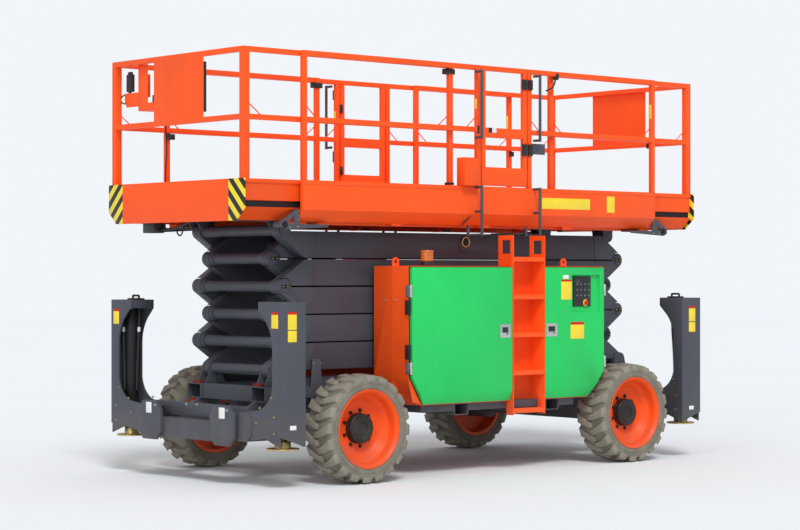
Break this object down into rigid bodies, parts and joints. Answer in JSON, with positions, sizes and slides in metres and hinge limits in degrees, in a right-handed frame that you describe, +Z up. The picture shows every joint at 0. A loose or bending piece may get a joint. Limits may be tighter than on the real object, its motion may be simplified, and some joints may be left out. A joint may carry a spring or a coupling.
{
  "type": "rough terrain scissor lift",
  "caption": "Self-propelled rough-terrain scissor lift with outriggers, folded scissor stack, swing-out cabinets and a railed platform with two sliding decks.",
  "frame": {"origin": "on the ground, below the middle of the wheelbase and of the track", "axes": "+X forward, +Y to the machine's left, +Z up"},
  "size_m": [4.98, 2.268, 3.2829],
  "materials": {
    "tyre": "matt, dusty",
    "orange_paint": "satin powder coat",
    "grey_paint": "satin powder coat",
    "green_paint": "satin powder coat",
    "black_paint": "satin",
    "zinc_plate": "yellow zinc plate",
    "hard_chrome": "polished",
    "galvanised": "dull grey",
    "amber_lens": "clear, glossy",
    "grey_plastic": "matt",
    "black_rubber": "matt"
  },
  "bodies": {
    "chassis": {"chassis_frame": "grey_paint", "fork_tubes": "grey_paint", "front_axle": "grey_paint", "rear_axle": "grey_paint", "outrigger_legs": "orange_paint", "jack_barrels": "black_paint", "cabinet_left": "orange_paint", "cabinet_right": "orange_paint", "battery_packs": "grey_paint", "ladders": "orange_paint", "beacon": "amber_lens"},
    "knuckle_left": {"knuckle_left": "grey_paint"},
    "knuckle_right": {"knuckle_right": "grey_paint"},
    "tie_rod": {"tie_rod": "grey_paint"},
    "wheel_front_left": {"tyre_front_left": "tyre", "rim_front_left": "orange_paint"},
    "wheel_front_right": {"tyre_front_right": "tyre", "rim_front_right": "orange_paint"},
    "wheel_rear_left": {"tyre_rear_left": "tyre", "rim_rear_left": "orange_paint"},
    "wheel_rear_right": {"tyre_rear_right": "tyre", "rim_rear_right": "orange_paint"},
    "door_front_left": {"door_front_left": "green_paint"},
    "door_front_right": {"door_front_right": "green_paint"},
    "door_rear_left": {"door_rear_left": "green_paint"},
    "door_rear_right": {"door_rear_right": "green_paint"},
    "jack_front_left": {"jack_front_left": "zinc_plate"},
    "jack_front_right": {"jack_front_right": "zinc_plate"},
    "jack_rear_left": {"jack_rear_left": "zinc_plate"},
    "jack_rear_right": {"jack_rear_right": "zinc_plate"},
    "outer_arm_1": {"outer_arm_1": "grey_paint"},
    "inner_arm_1": {"inner_arm_1": "grey_paint"},
    "outer_arm_2": {"outer_arm_2": "grey_paint"},
    "inner_arm_2": {"inner_arm_2": "grey_paint"},
    "outer_arm_3": {"outer_arm_3": "grey_paint"},
    "inner_arm_3": {"inner_arm_3": "grey_paint"},
    "outer_arm_4": {"outer_arm_4": "grey_paint"},
    "inner_arm_4": {"inner_arm_4": "grey_paint"},
    "outer_arm_5": {"outer_arm_5": "grey_paint"},
    "inner_arm_5": {"inner_arm_5": "grey_paint"},
    "platform": {"main_deck": "orange_paint", "deck_brackets": "grey_paint", "main_rails": "orange_paint", "grab_handles": "galvanised"},
    "lower_slider": {"lower_slider": "grey_paint"},
    "upper_slider": {"upper_slider": "grey_paint"},
    "lower_barrel": {"lower_barrel": "black_paint"},
    "lower_rod": {"lower_rod": "hard_chrome"},
    "upper_barrel": {"upper_barrel": "black_paint"},
    "upper_rod": {"upper_rod": "hard_chrome"},
    "front_extension": {"front_deck": "orange_paint", "front_rails": "orange_paint", "control_box": "grey_plastic", "document_box": "black_paint", "control_cable": "black_rubber"},
    "rear_extension": {"rear_deck": "orange_paint", "rear_rails": "orange_paint"},
    "gate_left": {"gate_left": "orange_paint"},
    "gate_right": {"gate_right": "orange_paint"}
  },
  "joints": [
    {"name": "wheel_front_left_roll", "type": "hinge", "parent": "knuckle_left", "child": "wheel_front_left", "pos_m": [1.475, 0.9815, 0.419], "axis": [0, 1, 0], "continuous": true},
    {"name": "wheel_front_right_roll", "type": "hinge", "parent": "knuckle_right", "child": "wheel_front_right", "pos_m": [1.475, -0.9815, 0.419], "axis": [0, 1, 0], "continuous": true},
    {"name": "wheel_rear_left_roll", "type": "hinge", "parent": "chassis", "child": "wheel_rear_left", "pos_m": [-1.475, 0.9815, 0.419], "axis": [0, 1, 0], "continuous": true},
    {"name": "wheel_rear_right_roll", "type": "hinge", "parent": "chassis", "child": "wheel_rear_right", "pos_m": [-1.475, -0.9815, 0.419], "axis": [0, 1, 0], "continuous": true},
    {"name": "steer_left", "type": "hinge", "parent": "chassis", "child": "knuckle_left", "pos_m": [1.475, 0.78, 0.419], "axis": [0, 0, 1], "range_deg": [-30, 30]},
    {"name": "steer_right", "type": "hinge", "parent": "chassis", "child": "knuckle_right", "pos_m": [1.475, -0.78, 0.419], "axis": [0, 0, 1], "range_deg": [-30, 30]},
    {"name": "tie_rod_ball", "type": "hinge", "parent": "knuckle_left", "child": "tie_rod", "pos_m": [1.285, 0.78, 0.307], "axis": [0, 0, 1], "range_deg": [-30, 30]},
    {"name": "door_front_left_swing", "type": "hinge", "parent": "chassis", "child": "door_front_left", "pos_m": [0.998, 1.08, 1.1], "axis": [0, 0, -1], "range_deg": [0, 100]},
    {"name": "door_front_right_swing", "type": "hinge", "parent": "chassis", "child": "door_front_right", "pos_m": [0.998, -1.08, 1.1], "axis": [0, 0, 1], "range_deg": [0, 100]},
    {"name": "door_rear_left_swing", "type": "hinge", "parent": "chassis", "child": "door_rear_left", "pos_m": [-1.144, 1.08, 1.1], "axis": [0, 0, 1], "range_deg": [0, 100]},
    {"name": "door_rear_right_swing", "type": "hinge", "parent": "chassis", "child": "door_rear_right", "pos_m": [-1.144, -1.08, 1.1], "axis": [0, 0, -1], "range_deg": [0, 100]},
    {"name": "jack_front_left_slide", "type": "slide", "parent": "chassis", "child": "jack_front_left", "axis": [0, 0, -1], "range_m": [0, 0.43]},
    {"name": "jack_front_right_slide", "type": "slide", "parent": "chassis", "child": "jack_front_right", "axis": [0, 0, -1], "range_m": [0, 0.43]},
    {"name": "jack_rear_left_slide", "type": "slide", "parent": "chassis", "child": "jack_rear_left", "axis": [0, 0, -1], "range_m": [0, 0.43]},
    {"name": "jack_rear_right_slide", "type": "slide", "parent": "chassis", "child": "jack_rear_right", "axis": [0, 0, -1], "range_m": [0, 0.43]},
    {"name": "lift", "type": "hinge", "parent": "chassis", "child": "outer_arm_1", "pos_m": [-1.855, 0, 0.85], "axis": [0, -1, 0], "range_deg": [0, 50]},
    {"name": "outer_pin_1", "type": "hinge", "parent": "outer_arm_1", "child": "outer_arm_2", "pos_m": [1.855, 0, 1.0668], "axis": [0, -1, 0], "range_deg": [-101, 0]},
    {"name": "outer_pin_2", "type": "hinge", "parent": "outer_arm_2", "child": "outer_arm_3", "pos_m": [-1.855, 0, 1.2836], "axis": [0, -1, 0], "range_deg": [0, 101]},
    {"name": "outer_pin_3", "type": "hinge", "parent": "outer_arm_3", "child": "outer_arm_4", "pos_m": [1.855, 0, 1.5004], "axis": [0, -1, 0], "range_deg": [-101, 0]},
    {"name": "outer_pin_4", "type": "hinge", "parent": "outer_arm_4", "child": "outer_arm_5", "pos_m": [-1.855, 0, 1.7172], "axis": [0, -1, 0], "range_deg": [0, 101]},
    {"name": "centre_pin_1", "type": "hinge", "parent": "outer_arm_1", "child": "inner_arm_1", "pos_m": [0, 0, 0.9584], "axis": [0, -1, 0], "range_deg": [-101, 0]},
    {"name": "centre_pin_2", "type": "hinge", "parent": "outer_arm_2", "child": "inner_arm_2", "pos_m": [0, 0, 1.1752], "axis": [0, -1, 0], "range_deg": [0, 101]},
    {"name": "centre_pin_3", "type": "hinge", "parent": "outer_arm_3", "child": "inner_arm_3", "pos_m": [0, 0, 1.392], "axis": [0, -1, 0], "range_deg": [-101, 0]},
    {"name": "centre_pin_4", "type": "hinge", "parent": "outer_arm_4", "child": "inner_arm_4", "pos_m": [0, 0, 1.6088], "axis": [0, -1, 0], "range_deg": [0, 101]},
    {"name": "centre_pin_5", "type": "hinge", "parent": "outer_arm_5", "child": "inner_arm_5", "pos_m": [0, 0, 1.8256], "axis": [0, -1, 0], "range_deg": [-101, 0]},
    {"name": "platform_pin", "type": "hinge", "parent": "inner_arm_5", "child": "platform", "pos_m": [-1.855, 0, 1.934], "axis": [0, -1, 0], "range_deg": [0, 51]},
    {"name": "lower_slider_pin", "type": "hinge", "parent": "inner_arm_1", "child": "lower_slider", "pos_m": [1.855, 0, 0.85], "axis": [0, -1, 0], "range_deg": [0, 51]},
    {"name": "upper_slider_pin", "type": "hinge", "parent": "outer_arm_5", "child": "upper_slider", "pos_m": [1.855, 0, 1.934], "axis": [0, -1, 0], "range_deg": [-51, 0]},
    {"name": "lower_barrel_pin", "type": "hinge", "parent": "inner_arm_1", "child": "lower_barrel", "pos_m": [-1.15, 0, 0.9584], "axis": [0, -1, 0], "range_deg": [0, 119]},
    {"name": "lower_rod_slide", "type": "slide", "parent": "lower_barrel", "child": "lower_rod", "axis": [0.9928, 0, 0.1195], "range_m": [0, 1.624]},
    {"name": "upper_barrel_pin", "type": "hinge", "parent": "inner_arm_3", "child": "upper_barrel", "pos_m": [-1.15, 0, 1.392], "axis": [0, -1, 0], "range_deg": [0, 119]},
    {"name": "upper_rod_slide", "type": "slide", "parent": "upper_barrel", "child": "upper_rod", "axis": [0.9928, 0, 0.1195], "range_m": [0, 1.624]},
    {"name": "front_slide", "type": "slide", "parent": "platform", "child": "front_extension", "axis": [1, 0, 0], "range_m": [0, 1.45]},
    {"name": "rear_slide", "type": "slide", "parent": "platform", "child": "rear_extension", "axis": [-1, 0, 0], "range_m": [0, 1.15]},
    {"name": "gate_left_swing", "type": "hinge", "parent": "platform", "child": "gate_left", "pos_m": [-0.404, 0.875, 2.8], "axis": [0, 0, -1], "range_deg": [0, 90]},
    {"name": "gate_right_swing", "type": "hinge", "parent": "platform", "child": "gate_right", "pos_m": [0.104, -0.875, 2.8], "axis": [0, 0, -1], "range_deg": [0, 90]}
  ],
  "couplings": [
    {"joint": "steer_right", "follows": "steer_left", "ratio": 1},
    {"joint": "tie_rod_ball", "follows": "steer_left", "ratio": -1},
    {"joint": "outer_pin_1", "follows": "lift", "ratio": -2},
    {"joint": "outer_pin_2", "follows": "lift", "ratio": 2},
    {"joint": "outer_pin_3", "follows": "lift", "ratio": -2},
    {"joint": "outer_pin_4", "follows": "lift", "ratio": 2},
    {"joint": "centre_pin_1", "follows": "lift", "ratio": -2},
    {"joint": "centre_pin_2", "follows": "lift", "ratio": 2},
    {"joint": "centre_pin_3", "follows": "lift", "ratio": -2},
    {"joint": "centre_pin_4", "follows": "lift", "ratio": 2},
    {"joint": "centre_pin_5", "follows": "lift", "ratio": -2},
    {"joint": "platform_pin", "follows": "lift", "ratio": 1},
    {"joint": "lower_slider_pin", "follows": "lift", "ratio": 1},
    {"joint": "upper_slider_pin", "follows": "lift", "ratio": -1},
    {"joint": "lower_barrel_pin", "follows": "lift", "ratio": 2.36},
    {"joint": "lower_rod_slide", "follows": "lift", "m_per_rad": 1.86},
    {"joint": "upper_barrel_pin", "follows": "lift", "ratio": 2.36},
    {"joint": "upper_rod_slide", "follows": "lift", "m_per_rad": 1.86}
  ]
}
